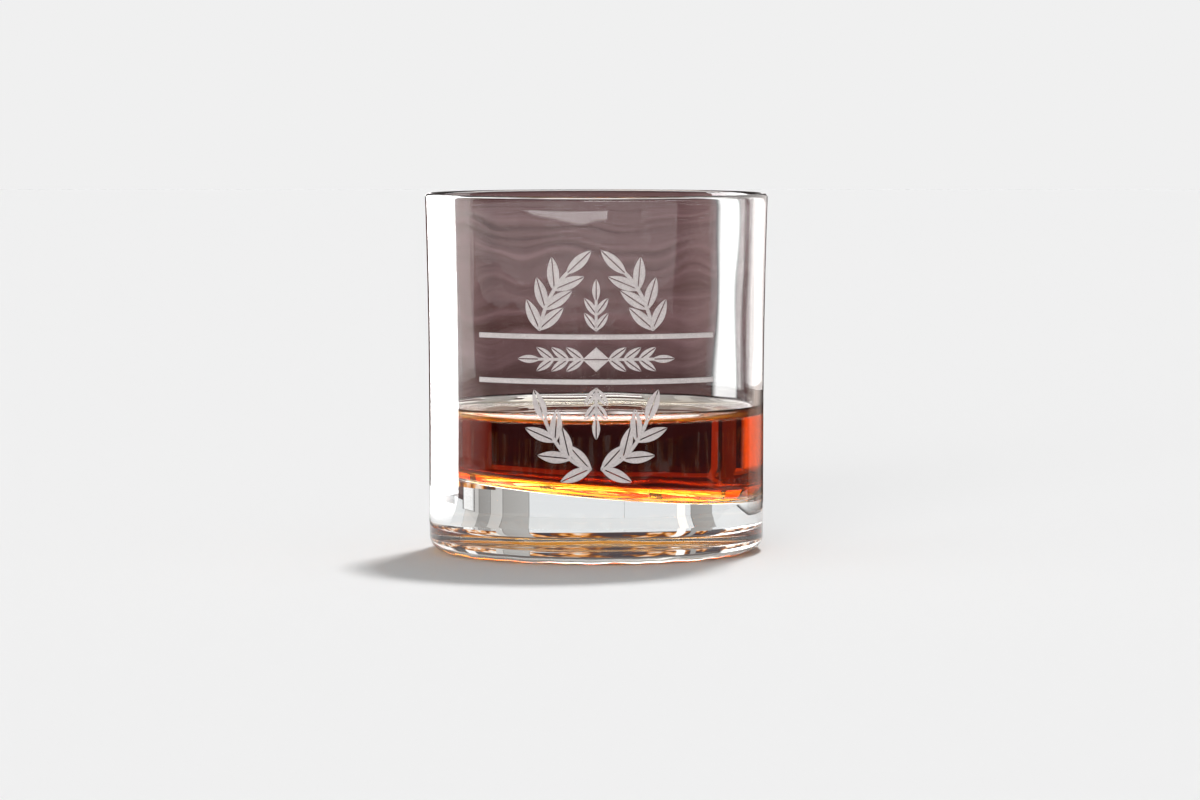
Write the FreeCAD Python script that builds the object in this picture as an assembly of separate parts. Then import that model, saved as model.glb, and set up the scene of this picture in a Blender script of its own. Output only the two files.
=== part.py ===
import FreeCAD, Part
import math
import os

# Whiskey tumbler with a measure of whisky in it, in millimetres, +Z up.
# Origin: centre of the foot ring, on the surface the glass stands on. -Y is the decorated front.

# ---- glass body -------------------------------------------------------------------------
HEIGHT = 87.0
BODY_RADIUS = 40.6          # outside, over the straight lower part
MOUTH_RADIUS = 41.6         # outside, at the lip
FLARE_START = 28.0          # height where the wall begins to lean outwards
WALL_LOW = 2.2
WALL_LIP = 1.9
HEEL_RADIUS = 4.0           # rounded edge between the wall and the foot
PUNT_RADIUS = 29.0          # hollow under the base, inside the foot ring
PUNT_DEPTH = 1.4            # in the middle
PUNT_MID_DEPTH = 1.26       # half way out
PUNT_RIM_DEPTH = 0.84       # at PUNT_RADIUS
PUNT_EDGE = 1.0             # width of the slope between the hollow and the foot ring

# ---- slanted inner floor ----------------------------------------------------------------
FLOOR_HEIGHT = 15.7         # on the axis
FLOOR_SLOPE = 5.2           # degrees, high on the -X side
FLOOR_CORNER = 4.0          # fillet between the floor and the wall

# ---- whisky -----------------------------------------------------------------------------
LIQUID_LEVEL = 33.4
MENISCUS_RADIUS = 2.65
CONTACT_ANGLE = 8.0         # degrees between the liquid's skin and the wall

# ---- etched decoration ------------------------------------------------------------------
FROST = 0.1                 # thickness of the frosted skin, which lies on the wall
RULE_WIDTH = 1.2
RULE_HALF_TURN = 43.0       # degrees each side of the front
RULE_UPPER_Z = 54.1
RULE_LOWER_Z = 43.5
WREATH_CENTRE_Z = 47.5
WREATH_HALF_WIDTH = 14.2    # to the middle of the stem
WREATH_HALF_HEIGHT = 24.6
WREATH_GAP = 1.2            # clear height between a rule and the wreath
STEM_WIDTH = 1.0
LEAF_LENGTH = 7.6
LEAF_WIDTH = 2.9
LEAF_SPREAD = 36.0          # degrees between a leaf and its stem
LEAF_PAIRS = 3              # on each of the four branches, below its end leaf
UPPER_BRANCH_END = 62.0     # degrees round the wreath from its side; its leaves reach the top
LOWER_BRANCH_START = 84.0   # degrees below the side, where the two lower branches nearly meet
LOWER_BRANCH_END = 32.0     # degrees below the side; its leaves reach the lower rule
GRAIN_LENGTH = 4.8          # grains of the barley ears inside the wreath
GRAIN_WIDTH = 1.9
GRAIN_STEP = 3.5
GRAIN_SPREAD = 36.0
UPRIGHT_PAIRS = 2           # pairs of grains on the two upright ears
LEVEL_PAIRS = 3             # and on the two level ones between the rules
LOZENGE_HALF_WIDTH = 3.2
LOZENGE_HALF_HEIGHT = 2.9

TOP = HEIGHT - WALL_LIP / 2           # where the straight wall gives way to the rounded lip
BAND_Z = (RULE_UPPER_Z + RULE_LOWER_Z) / 2
CLEAR = 5.0                           # how far cutting shapes run past the glass


def vec(radius, z):
    """A point of a turned profile, in the XZ plane."""
    return FreeCAD.Vector(radius, 0, z)


def outer_radius(z):
    """Outside radius of the wall: straight, then leaning out along a shallow parabola."""
    rise = max(0.0, z - FLARE_START) / (TOP - FLARE_START)
    return BODY_RADIUS + (MOUTH_RADIUS - BODY_RADIUS) * rise ** 2


def wall_at(z):
    """Wall thickness, which thins from the straight part to the lip."""
    rise = max(0.0, z - FLARE_START) / (TOP - FLARE_START)
    return WALL_LOW + (WALL_LIP - WALL_LOW) * rise


def wall_curve(inset, z_from, z_to):
    """The leaning part of the wall as an arc, set in from the outside by inset(z)."""
    points = [vec(outer_radius(z) - inset(z), z) for z in (z_from, (z_from + z_to) / 2, z_to)]
    return Part.Arc(*points).toShape()


def line(start, end):
    """A straight edge of a profile."""
    return Part.LineSegment(start, end).toShape()


def turned(edges, angle=360.0):
    """Solid made by turning a closed profile about the glass's axis."""
    face = Part.Face(Part.Wire(edges))
    return face.revolve(FreeCAD.Vector(0, 0, 0), FreeCAD.Vector(0, 0, 1), angle)


def outer_block():
    """The whole glass as if it were not hollow: foot ring, punt, heel, wall and flat top."""
    foot = BODY_RADIUS - HEEL_RADIUS
    heel_mid = math.radians(45)
    punt_rim = PUNT_RADIUS + PUNT_EDGE
    edges = [
        Part.Arc(vec(0, PUNT_DEPTH), vec(PUNT_RADIUS / 2, PUNT_MID_DEPTH),
                 vec(PUNT_RADIUS, PUNT_RIM_DEPTH)).toShape(),
        line(vec(PUNT_RADIUS, PUNT_RIM_DEPTH), vec(punt_rim, 0)),
        line(vec(punt_rim, 0), vec(foot, 0)),
        Part.Arc(vec(foot, 0),
                 vec(foot + HEEL_RADIUS * math.sin(heel_mid), HEEL_RADIUS * (1 - math.cos(heel_mid))),
                 vec(BODY_RADIUS, HEEL_RADIUS)).toShape(),
        line(vec(BODY_RADIUS, HEEL_RADIUS), vec(BODY_RADIUS, FLARE_START)),
        wall_curve(lambda z: 0.0, FLARE_START, TOP),
        lip_arc(),
        line(vec(outer_radius(TOP) - WALL_LIP, TOP), vec(0, TOP)),
        line(vec(0, TOP), vec(0, PUNT_DEPTH)),
    ]
    return turned(edges)


def lip_arc():
    """Half circle over the wall: the mouth is fire-polished round."""
    outside = outer_radius(TOP)
    return Part.Arc(vec(outside, TOP), vec(outside - WALL_LIP / 2, HEIGHT),
                    vec(outside - WALL_LIP, TOP)).toShape()


def cavity():
    """The space inside the glass, down to its slanted floor, with the floor's corner rounded."""
    inside_low = BODY_RADIUS - WALL_LOW
    inside_top = outer_radius(TOP) - WALL_LIP
    edges = [
        line(vec(0, 0), vec(inside_low, 0)),
        line(vec(inside_low, 0), vec(inside_low, FLARE_START)),
        wall_curve(wall_at, FLARE_START, TOP),
        line(vec(inside_top, TOP), vec(inside_top, TOP + CLEAR)),
        line(vec(inside_top, TOP + CLEAR), vec(0, TOP + CLEAR)),
        line(vec(0, TOP + CLEAR), vec(0, 0)),
    ]
    space = turned(edges)
    side = 2 * (BODY_RADIUS + CLEAR)
    below = Part.makeBox(side, side, side, FreeCAD.Vector(-side / 2, -side / 2, -side))
    below.rotate(FreeCAD.Vector(0, 0, 0), FreeCAD.Vector(0, 1, 0), FLOOR_SLOPE)
    below.translate(FreeCAD.Vector(0, 0, FLOOR_HEIGHT))
    space = space.cut(below)
    corner = [edge for edge in space.Edges
              if edge.BoundBox.ZMax < LIQUID_LEVEL and edge.BoundBox.XLength > BODY_RADIUS]
    return space.makeFillet(FLOOR_CORNER, corner)


def liquid_gauge():
    """Everything below the liquid's skin: flat, and climbing the wall in a meniscus."""
    grip = math.radians(CONTACT_ANGLE)
    edge = BODY_RADIUS - WALL_LOW
    centre_r = edge - MENISCUS_RADIUS * math.cos(grip)
    centre_z = LIQUID_LEVEL + MENISCUS_RADIUS
    middle = (-math.pi / 2 - grip) / 2
    rim = vec(edge, centre_z - MENISCUS_RADIUS * math.sin(grip))
    outside = vec(edge + WALL_LOW / 2, rim.z)
    edges = [
        line(vec(0, 0), vec(0, LIQUID_LEVEL)),
        line(vec(0, LIQUID_LEVEL), vec(centre_r, LIQUID_LEVEL)),
        Part.Arc(vec(centre_r, LIQUID_LEVEL),
                 vec(centre_r + MENISCUS_RADIUS * math.cos(middle),
                     centre_z + MENISCUS_RADIUS * math.sin(middle)),
                 rim).toShape(),
        line(rim, outside),
        line(outside, vec(outside.x, 0)),
        line(vec(outside.x, 0), vec(0, 0)),
    ]
    return turned(edges)


def frost_layer():
    """A skin all round the outside of the wall, over the decorated height."""
    low = FLARE_START / 2
    high = TOP - CLEAR
    edges = [
        line(vec(BODY_RADIUS, low), vec(BODY_RADIUS, FLARE_START)),
        wall_curve(lambda z: 0.0, FLARE_START, high),
        line(vec(outer_radius(high), high), vec(outer_radius(high) + FROST, high)),
        wall_curve(lambda z: -FROST, FLARE_START, high),
        line(vec(BODY_RADIUS + FROST, FLARE_START), vec(BODY_RADIUS + FROST, low)),
        line(vec(BODY_RADIUS + FROST, low), vec(BODY_RADIUS, low)),
    ]
    return turned(edges)


def leaf(x, z, heading, length, width):
    """Pointed leaf in the XZ plane: two arcs from its base to its tip, heading in degrees."""
    along = FreeCAD.Vector(math.cos(math.radians(heading)), 0, math.sin(math.radians(heading)))
    across = FreeCAD.Vector(-along.z, 0, along.x)
    base = FreeCAD.Vector(x, 0, z)
    tip = base + along * length
    belly = base + along * (length / 2)
    sides = [
        Part.Arc(base, belly + across * (width / 2), tip).toShape(),
        Part.Arc(tip, belly - across * (width / 2), base).toShape(),
    ]
    return Part.Face(Part.Wire(sides))


def wreath_point(turn):
    """Point on the wreath's stem: turn is 0 at the right-hand side and 90 degrees at the top."""
    return (WREATH_HALF_WIDTH * math.cos(math.radians(turn)),
            WREATH_CENTRE_Z + WREATH_HALF_HEIGHT * math.sin(math.radians(turn)))


def stem(turn_from, turn_to):
    """Band of even width along the wreath, tapering to a point at turn_to."""
    middle = (turn_from + turn_to) / 2
    outward = [wreath_point(t) for t in (turn_from, middle, turn_to)]
    points = [FreeCAD.Vector(x, 0, z) for x, z in outward]
    shift = STEM_WIDTH / 2
    start_out = points[0] + FreeCAD.Vector(shift, 0, 0)
    start_in = points[0] - FreeCAD.Vector(shift, 0, 0)
    inward = (points[1] - FreeCAD.Vector(0, 0, WREATH_CENTRE_Z)).normalize() * shift
    edges = [
        line(start_in, start_out),
        Part.Arc(start_out, points[1] + inward, points[2]).toShape(),
        Part.Arc(points[2], points[1] - inward, start_in).toShape(),
    ]
    return Part.Face(Part.Wire(edges))


def branch(turn_from, turn_to):
    """One right-hand branch, growing upwards: stem, pairs of leaves and one leaf at its end."""
    faces = [stem(turn_from, turn_to)]
    for pair in range(LEAF_PAIRS + 1):
        turn = turn_from + (turn_to - turn_from) * pair / LEAF_PAIRS
        x, z = wreath_point(turn)
        heading = math.degrees(math.atan2(WREATH_HALF_HEIGHT * math.cos(math.radians(turn)),
                                          -WREATH_HALF_WIDTH * math.sin(math.radians(turn))))
        spreads = (-LEAF_SPREAD, LEAF_SPREAD) if pair < LEAF_PAIRS else (0,)
        for spread in spreads:
            faces.append(leaf(x, z, heading + spread, LEAF_LENGTH, LEAF_WIDTH))
    return faces


def both_sides(faces):
    """The faces and their mirror image across the middle of the front."""
    mirrored = [f.mirror(FreeCAD.Vector(0, 0, 0), FreeCAD.Vector(1, 0, 0)) for f in faces]
    return faces + mirrored


def barley_ear(x, z, heading, pairs):
    """Ear of barley: a straight stalk with pairs of grains along it and one grain at its end."""
    along_x = math.cos(math.radians(heading))
    along_z = math.sin(math.radians(heading))
    faces = [leaf(x, z, heading, pairs * GRAIN_STEP + GRAIN_LENGTH, STEM_WIDTH)]
    for pair in range(pairs + 1):
        reach = pair * GRAIN_STEP
        spreads = (-GRAIN_SPREAD, GRAIN_SPREAD) if pair < pairs else (0,)
        for spread in spreads:
            faces.append(leaf(x + reach * along_x, z + reach * along_z, heading + spread,
                              GRAIN_LENGTH, GRAIN_WIDTH))
    return faces


def lozenge():
    """Upright diamond in the middle of the band between the rules."""
    corners = [(LOZENGE_HALF_WIDTH, 0), (0, LOZENGE_HALF_HEIGHT), (-LOZENGE_HALF_WIDTH, 0),
               (0, -LOZENGE_HALF_HEIGHT), (LOZENGE_HALF_WIDTH, 0)]
    points = [FreeCAD.Vector(x, 0, BAND_Z + z) for x, z in corners]
    return Part.Face(Part.makePolygon(points))


def etched(faces, layer):
    """Flat artwork carried straight back onto the front of the glass, as thick as the frost layer."""
    stamps = []
    for face in faces:
        face.translate(FreeCAD.Vector(0, -MOUTH_RADIUS - CLEAR, 0))
        stamps.append(face.extrude(FreeCAD.Vector(0, MOUTH_RADIUS, 0)))
    return joined(stamps[0].multiFuse(stamps[1:]).removeSplitter().common(layer))


def rule(z, layer):
    """Level line that wraps part of the way round the glass."""
    reach = MOUTH_RADIUS + CLEAR
    low = z - RULE_WIDTH / 2
    high = z + RULE_WIDTH / 2
    edges = [
        line(vec(0, low), vec(reach, low)),
        line(vec(reach, low), vec(reach, high)),
        line(vec(reach, high), vec(0, high)),
        line(vec(0, high), vec(0, low)),
    ]
    wedge = turned(edges, 2 * RULE_HALF_TURN)
    wedge.rotate(FreeCAD.Vector(0, 0, 0), FreeCAD.Vector(0, 0, 1), -90 - RULE_HALF_TURN)
    return joined(wedge.common(layer))


def joined(shape):
    """One solid, or a compound of separate solids, with split faces merged."""
    solids = shape.removeSplitter().Solids
    return solids[0] if len(solids) == 1 else Part.makeCompound(solids)


def turn_at(z):
    """Turn round the wreath at which its stem reaches this height."""
    return math.degrees(math.asin((z - WREATH_CENTRE_Z) / WREATH_HALF_HEIGHT))


def decoration():
    """The etched nodes: two rules, two half wreaths and the band between the rules."""
    layer = frost_layer()
    above = RULE_UPPER_Z + RULE_WIDTH / 2 + WREATH_GAP
    below = RULE_LOWER_Z - RULE_WIDTH / 2 - WREATH_GAP
    upper = both_sides(branch(turn_at(above), UPPER_BRANCH_END))
    upper += barley_ear(0, above, 90, UPRIGHT_PAIRS)
    lower = both_sides(branch(-LOWER_BRANCH_START, -LOWER_BRANCH_END))
    lower += barley_ear(0, below, -90, UPRIGHT_PAIRS)
    band = [lozenge()] + both_sides(barley_ear(LOZENGE_HALF_WIDTH, BAND_Z, 0, LEVEL_PAIRS))
    return {
        "etched_rule_upper": rule(RULE_UPPER_Z, layer),
        "etched_rule_lower": rule(RULE_LOWER_Z, layer),
        "etched_wreath_upper": etched(upper, layer),
        "etched_wreath_lower": etched(lower, layer),
        "etched_band": etched(band, layer),
    }


def build():
    """Every node of the tumbler, by name."""
    hollow = cavity()
    nodes = {
        "glass_body": joined(outer_block().cut(hollow)),
        "whisky": joined(hollow.common(liquid_gauge())),
    }
    nodes.update(decoration())
    return nodes


os.makedirs("parts", exist_ok=True)
for name, shape in build().items():
    if not shape.isValid():
        raise ValueError(name + " is not a valid shape")
    shape.exportStep(os.path.join("parts", name + ".step"))
    print(f"{name}: {len(shape.Solids)} solid(s), {shape.Volume / 1000:.3f} ml")
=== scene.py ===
# %% [markdown]
# # A whiskey tumbler: clear glass, amber drink and a frosted wreath
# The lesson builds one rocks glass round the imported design. Glass shows nothing of its own: what the eye
# reads is how it bends and mirrors the room. So the order is: load the sizes, set the camera, build the
# room of cards, then the glass, the drink, its bubbles and the frosted decoration.

# %% Load the design
import math

import bmesh
import bpy
import numpy as np
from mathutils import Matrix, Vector


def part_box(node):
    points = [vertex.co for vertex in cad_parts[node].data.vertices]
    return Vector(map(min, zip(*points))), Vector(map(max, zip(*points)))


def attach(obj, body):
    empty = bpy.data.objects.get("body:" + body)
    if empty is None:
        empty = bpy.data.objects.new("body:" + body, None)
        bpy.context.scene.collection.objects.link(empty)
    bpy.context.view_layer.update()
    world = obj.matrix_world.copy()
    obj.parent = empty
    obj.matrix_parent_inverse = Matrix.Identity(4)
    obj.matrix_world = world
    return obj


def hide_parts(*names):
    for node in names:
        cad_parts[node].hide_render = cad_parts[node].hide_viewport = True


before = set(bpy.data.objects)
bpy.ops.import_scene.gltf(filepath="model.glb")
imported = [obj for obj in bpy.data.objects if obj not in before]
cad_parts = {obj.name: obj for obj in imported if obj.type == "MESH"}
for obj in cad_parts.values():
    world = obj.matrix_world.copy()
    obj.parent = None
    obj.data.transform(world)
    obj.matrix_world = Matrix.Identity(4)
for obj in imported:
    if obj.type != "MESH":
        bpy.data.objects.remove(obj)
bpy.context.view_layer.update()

# %% [markdown]
# ## Sizes of the tumbler
# The frame gives the outside of each node, and every other size hangs on those few numbers. The glass has
# a straight wall that leans out a little towards the mouth, a fire-polished lip, a rounded heel, a hollow
# punt under the base, and an inner floor that slants down to the right.

# %% Sizes read from the frame
MM = 0.001
glass_low, glass_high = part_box("glass_body")
drink_low, drink_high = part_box("whisky")

HEIGHT = glass_high.z
MOUTH_R = (glass_high.x - glass_low.x) / 2
CAVITY_R = (drink_high.x - drink_low.x) / 2

WALL_LOW = 2.2 * MM
WALL_LIP = 1.9 * MM
BODY_R = CAVITY_R + WALL_LOW
FLARE_START = 28.0 * MM
LIP_R = WALL_LIP / 2
TOP = HEIGHT - LIP_R
HEEL_R = 4.0 * MM
PUNT_R = 29.0 * MM
PUNT_DEPTH = 1.4 * MM
PUNT_SHOULDER = 1.6 * MM
KNURL_R = 34.5 * MM
KNURL_WIDTH = 5.5 * MM

FLOOR_Z = 15.7 * MM
FLOOR_SLOPE = math.radians(5.2)
FLOOR_CORNER = 4.0 * MM

LEVEL = 33.4 * MM
MENISCUS_R = 2.65 * MM
CONTACT_ANGLE = math.radians(3)
CONTACT_Z = LEVEL + MENISCUS_R * (1 - math.sin(CONTACT_ANGLE))
print(f"glass {HEIGHT / MM:.1f} mm high, {2 * MOUTH_R / MM:.1f} mm at the mouth")
print(f"drink stands at {LEVEL / MM:.1f} mm and climbs to {CONTACT_Z / MM:.1f} mm at the wall")


# %% [markdown]
# ## Small helpers
# Colours are written as the sRGB hex that a paint program shows, and one function turns them into the
# linear light that the renderer works in. One function adds any node, with its settings and links.

# %% Colour and node helpers
def linear(hex_colour):
    """sRGB hex to linear red, green, blue and alpha."""
    parts = [int(hex_colour[i:i + 2], 16) / 255 for i in (1, 3, 5)]
    return (*[p / 12.92 if p <= 0.04045 else ((p + 0.055) / 1.055) ** 2.4 for p in parts], 1.0)


def add(tree, kind, inputs=(), links=(), **settings):
    """Adds a node: inputs maps a socket to a value, links maps a socket to another node's output."""
    node = tree.nodes.new(kind)
    for key, value in settings.items():
        setattr(node, key, value)
    for key, value in dict(inputs).items():
        node.inputs[key].default_value = value
    for key, output in dict(links).items():
        tree.links.new(output, node.inputs[key])
    return node


def new_material(name):
    """Empty node material, with its output node."""
    material = bpy.data.materials.new(name)
    material.use_nodes = True
    material.node_tree.nodes.clear()
    output = add(material.node_tree, "ShaderNodeOutputMaterial")
    return material, material.node_tree, output


def link_object(name, mesh, materials=()):
    """Object for a finished mesh, at the origin, in the scene."""
    thing = bpy.data.objects.new(name, mesh)
    bpy.context.scene.collection.objects.link(thing)
    for material in materials:
        mesh.materials.append(material)
    return thing


# %% [markdown]
# ## Camera
# A long lens about 1.15 m away, only a little above the rim, makes the tall narrow ellipses of the mouth
# and of the drink. The lens looks at a point in the middle of the drink, so the base shows more of its
# roundness than the mouth does.

# %% Camera
CAMERA_BACK = 1.15
CAMERA_HEIGHT = 0.113
AIM = Vector((0.9 * MM, 0, 36.6 * MM))
LENS = 142

camera = bpy.data.objects.new("camera", bpy.data.cameras.new("camera"))
bpy.context.scene.collection.objects.link(camera)
camera.location = (AIM.x, -CAMERA_BACK, CAMERA_HEIGHT)
camera.rotation_mode = "QUATERNION"
camera.rotation_quaternion = (AIM - camera.location).to_track_quat("-Z", "Y")
camera.data.lens = LENS
camera.data.sensor_width = 36
camera.data.clip_start = 0.01
camera.data.clip_end = 50
bpy.context.scene.camera = camera
print(f"camera looks down {math.degrees(math.atan2(CAMERA_HEIGHT - AIM.z, CAMERA_BACK)):.1f} degrees")

# %% [markdown]
# ## The room that the glass shows
# Glass is lit with cards, not lamps: white cards draw its edges and dark ones give it body.
# The camera itself sees only a pale floor and a pale wall. The cards are hidden from it, and only rays that
# went through the glass or bounced off it meet them.

# %% View and light paths
scene = bpy.context.scene
scene.view_settings.view_transform = "Standard"
scene.cycles.max_bounces = 24
scene.cycles.transmission_bounces = 24
scene.cycles.glossy_bounces = 12
scene.cycles.diffuse_bounces = 4
scene.cycles.sample_clamp_indirect = 6

PAPER = linear("#F0F0F0")
AMBIENT = 0.36       # share of the floor's light that comes from all round
ROOM_ABOVE = 1.00    # how bright the room over the table looks through both walls and the drink
ROOM_SKIN = (0.14, 0.12, 0.115, 1)    # the same room in the lip, the base and the outer skin
THICK_GLASS = 2.5    # rays that crossed fewer surfaces than this met only the lip, the base or the skin


# %% Sky: pale for the camera, even light for matt things, a softer room in the glass
def make_world():
    world = bpy.data.worlds.new("studio")
    scene.world = world
    world.use_nodes = True
    tree = world.node_tree
    tree.nodes.clear()
    path = add(tree, "ShaderNodeLightPath")
    matt = add(tree, "ShaderNodeBackground", {"Color": (1, 1, 1, 1), "Strength": AMBIENT})
    room = add(tree, "ShaderNodeBackground", {"Color": linear("#FAF0F0"), "Strength": ROOM_ABOVE})
    seen = add(tree, "ShaderNodeBackground", {"Color": PAPER, "Strength": 1.0})
    skin_room = add(tree, "ShaderNodeBackground", {"Color": ROOM_SKIN, "Strength": 1.0})
    deep = add(tree, "ShaderNodeMath", {1: THICK_GLASS}, {0: path.outputs["Transmission Depth"]},
               operation="GREATER_THAN")
    glass = add(tree, "ShaderNodeMixShader", links={
        0: deep.outputs[0], 1: skin_room.outputs[0], 2: room.outputs[0]})
    inside = add(tree, "ShaderNodeMixShader", links={
        0: path.outputs["Is Diffuse Ray"], 1: glass.outputs[0], 2: matt.outputs[0]})
    shown = add(tree, "ShaderNodeMixShader", links={
        0: path.outputs["Is Camera Ray"], 1: inside.outputs[0], 2: seen.outputs[0]})
    add(tree, "ShaderNodeOutputWorld", links={"Surface": shown.outputs[0]})


make_world()


# %% Stage helpers
IN_GLASS = ("glossy", "transmission")
EVERY_RAY = ("camera", "diffuse", "glossy", "transmission", "shadow", "volume_scatter")


def stage_sheet(name, corners, material, seen_by=IN_GLASS):
    """Flat four-sided card through the given corners, met only by the named kinds of ray."""
    mesh = bpy.data.meshes.new(name)
    mesh.from_pydata([tuple(c) for c in corners], [], [(0, 1, 2, 3)])
    mesh.uv_layers.new(name="along")
    for loop, uv in zip(mesh.uv_layers[0].data, ((0, 0), (1, 0), (1, 1), (0, 1))):
        loop.uv = uv
    card = link_object(name, mesh, [material])
    for kind in EVERY_RAY:
        setattr(card, "visible_" + kind, kind in seen_by)
    return card


def glowing(name, start, end=None, soft=(0.02, 0.02), sides=0.001, fading=False, through=(1.0, 1.0)):
    """Lit card: linear red, green and blue at its start, blending along it to those at its end. Its two
    ends fade over the shares soft and its long sides over the share sides. A card that lies on the table
    fades away from its first side. Rays that come through the glass see the shares through of it."""
    material, tree, output = new_material(name)
    along = add(tree, "ShaderNodeUVMap", uv_map="along")
    part = add(tree, "ShaderNodeSeparateXYZ", links={0: along.outputs[0]})

    def times(a, b):
        return add(tree, "ShaderNodeMath", links={0: a, 1: b}, operation="MULTIPLY").outputs[0]

    def swell(axis, first, last):
        """Rises over the share first of the card and falls over the share last."""
        rise = add(tree, "ShaderNodeMapRange", {"From Max": first}, {"Value": part.outputs[axis]},
                   interpolation_type="SMOOTHSTEP")
        fall = add(tree, "ShaderNodeMapRange", {"From Min": 1.0, "From Max": 1.0 - last},
                   {"Value": part.outputs[axis]}, interpolation_type="SMOOTHSTEP")
        return times(rise.outputs[0], fall.outputs[0])

    lift = add(tree, "ShaderNodeMapRange", {"To Min": 1.0, "To Max": 0.0 if fading else 1.0},
               {"Value": part.outputs["Y"]})
    share = add(tree, "ShaderNodeMapRange", {"To Min": through[0], "To Max": through[1]},
                {"Value": part.outputs["X"]})
    path = add(tree, "ShaderNodeLightPath")
    shown = add(tree, "ShaderNodeMapRange", {"To Min": 1.0},
                {"Value": path.outputs["Is Transmission Ray"], "To Max": share.outputs[0]})
    edges = times(swell("X", *soft), swell("Y", sides, sides))
    strength = times(times(edges, lift.outputs[0]), shown.outputs[0])
    blend = add(tree, "ShaderNodeMix", links={"Factor": part.outputs["X"]}, data_type="VECTOR")
    first, second = [s for s in blend.inputs if s.type == "VECTOR"][-2:]
    first.default_value = start
    second.default_value = end or start
    mixed = [s for s in blend.outputs if s.type == "VECTOR"][0]
    glow = add(tree, "ShaderNodeEmission", links={"Color": mixed, "Strength": strength})
    tree.links.new(glow.outputs[0], output.inputs["Surface"])
    return material


# %% Show a glow to some rays only
def depth_gate(tree, operation, value, margin=0.0):
    """1 for rays whose count of crossed glass surfaces passes the test, and 0 for the rest."""
    path = add(tree, "ShaderNodeLightPath")
    return add(tree, "ShaderNodeMath", {1: value, 2: margin}, {0: path.outputs["Transmission Depth"]},
               operation=operation).outputs[0]


def gated(tree, output, glow, gate):
    """The glow where the gate is 1, and clear air where it is 0."""
    clear = add(tree, "ShaderNodeBsdfTransparent")
    mixed = add(tree, "ShaderNodeMixShader", links={0: gate, 1: clear.outputs[0], 2: glow})
    tree.links.new(mixed.outputs[0], output.inputs["Surface"])


# %% Floor
FLOOR_HALF = 4.0
FLOOR_WHITE = 0.871


def floor_material():
    material, tree, output = new_material("pale_matt_floor")
    matt = add(tree, "ShaderNodeBsdfDiffuse", {"Color": (FLOOR_WHITE, FLOOR_WHITE, FLOOR_WHITE, 1)})
    tree.links.new(matt.outputs[0], output.inputs["Surface"])
    return material


floor_corners = [(x * FLOOR_HALF, y * FLOOR_HALF, 0) for x, y in ((-1, -1), (1, -1), (1, 1), (-1, 1))]
floor = stage_sheet("floor", floor_corners, floor_material(), EVERY_RAY)


# %% Sun through a large window, behind and a little to the right, for the soft shadow
SUN_TRAVEL = (-0.17, -0.50)    # how far the shadow runs left and forwards, for each metre of height
SUN_SOFTNESS = math.radians(7)


FILL_TRAVEL = (0.25, 1.0, -0.22)    # low light from the camera's side, which lifts the frosted patches
FILL_POWER = 1.1


def make_sun(name, travel, power, softness):
    lamp = bpy.data.lights.new(name, "SUN")
    lamp.energy = power
    lamp.angle = softness
    lamp.cycles.use_multiple_importance_sampling = False
    sun = bpy.data.objects.new(name, lamp)
    scene.collection.objects.link(sun)
    sun.rotation_mode = "QUATERNION"
    sun.rotation_quaternion = travel.to_track_quat("-Z", "Y")
    sun.visible_glossy = False
    sun.visible_transmission = False
    return sun


fill = Vector(FILL_TRAVEL)
fill_on_floor = FILL_POWER * -fill.z / fill.length / math.pi
main = Vector((*SUN_TRAVEL, -1.0))
make_sun("window_light", main, (1 - AMBIENT - fill_on_floor) * math.pi * main.length, SUN_SOFTNESS)
make_sun("front_fill", fill, FILL_POWER, math.radians(30))

# %% Dark table that only the glass sees, beyond a pale patch under it
TABLE_GAP = (0.19, 0.125)    # half width and half depth of the pale patch
TABLE_GAP_BACK = 0.065       # the patch lies mostly behind the glass
TABLE_FAR = 3.9
TABLE_LIFT = 0.4 * MM


def table_material():
    """Stained oak out of focus: soft streaks along the boards, in browns that lean to mauve. Its brightness
    is painted light: the sheet glows, dimmer near the glass and brighter further out.
    """
    material, tree, output = new_material("glowing_stained_oak_table")
    place = add(tree, "ShaderNodeTexCoord")
    stretch = add(tree, "ShaderNodeMapping", {"Scale": (3.2, 9.0, 1.0)},
                  {"Vector": place.outputs["Object"]})
    streaks = add(tree, "ShaderNodeTexNoise", {"Scale": 1.0, "Detail": 5.0, "Roughness": 0.6},
                  {"Vector": stretch.outputs[0]})
    tone = add(tree, "ShaderNodeValToRGB", links={"Fac": streaks.outputs["Fac"]})
    tone.color_ramp.elements[0].position = 0.3
    tone.color_ramp.elements[0].color = linear("#47302D")
    tone.color_ramp.elements[1].position = 0.72
    tone.color_ramp.elements[1].color = linear("#7E6163")
    # Painted light: the table glows instead of being lit, dimmer near the glass and brighter further out
    away = add(tree, "ShaderNodeVectorMath", links={0: place.outputs["Object"]}, operation="LENGTH")
    light = add(tree, "ShaderNodeMapRange", {"From Min": 0.45, "From Max": 0.95, "To Min": 0.6,
                "To Max": 1.15}, {"Value": away.outputs["Value"]})
    glow = add(tree, "ShaderNodeEmission", links={"Color": tone.outputs[0], "Strength": light.outputs[0]})
    tree.links.new(glow.outputs[0], output.inputs["Surface"])
    return material


def make_table():
    """Ring-shaped sheet just over the floor, round the pale patch and out to TABLE_FAR."""
    turns = 64
    points = []
    for wide, deep, back in ((*TABLE_GAP, TABLE_GAP_BACK), (TABLE_FAR, TABLE_FAR, 0.0)):
        for i in range(turns):
            a = 2 * math.pi * i / turns
            points.append((wide * math.cos(a), back + deep * math.sin(a), TABLE_LIFT))
    faces = [(i, (i + 1) % turns, turns + (i + 1) % turns, turns + i) for i in range(turns)]
    mesh = bpy.data.meshes.new("dark_table")
    mesh.from_pydata(points, [], faces)
    table = link_object("dark_table", mesh, [table_material()])
    for kind in EVERY_RAY:
        setattr(table, "visible_" + kind, kind in IN_GLASS)


make_table()


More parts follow.
